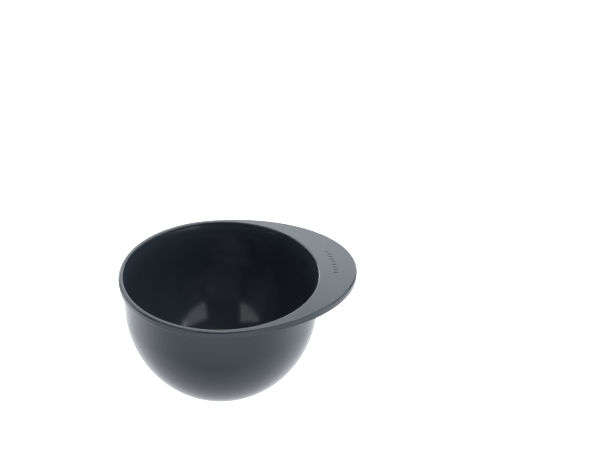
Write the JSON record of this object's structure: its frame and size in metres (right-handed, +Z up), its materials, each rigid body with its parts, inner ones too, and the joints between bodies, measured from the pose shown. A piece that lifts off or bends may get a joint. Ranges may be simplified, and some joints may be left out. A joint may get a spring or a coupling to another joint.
{
  "type": "hair color bowl",
  "caption": "Deep round mixing bowl for hair colour, with a flat crescent grip lip along one side of its rim and a soft non-slip pad in its base.",
  "frame": {"origin": "centre of the base pad's underside, on the bowl's axis, where the bowl stands", "axes": "+Z up along the bowl's axis, +X from the axis to the tip of the grip lip, the bowl is symmetric about Y = 0"},
  "size_m": [0.1399, 0.1202, 0.075],
  "materials": {
    "bowl_plastic": "satin moulded, dark slate",
    "pad_rubber": "matte, near black"
  },
  "bodies": {
    "root": {"bowl": "bowl_plastic", "base_pad": "pad_rubber"}
  },
  "joints": []
}
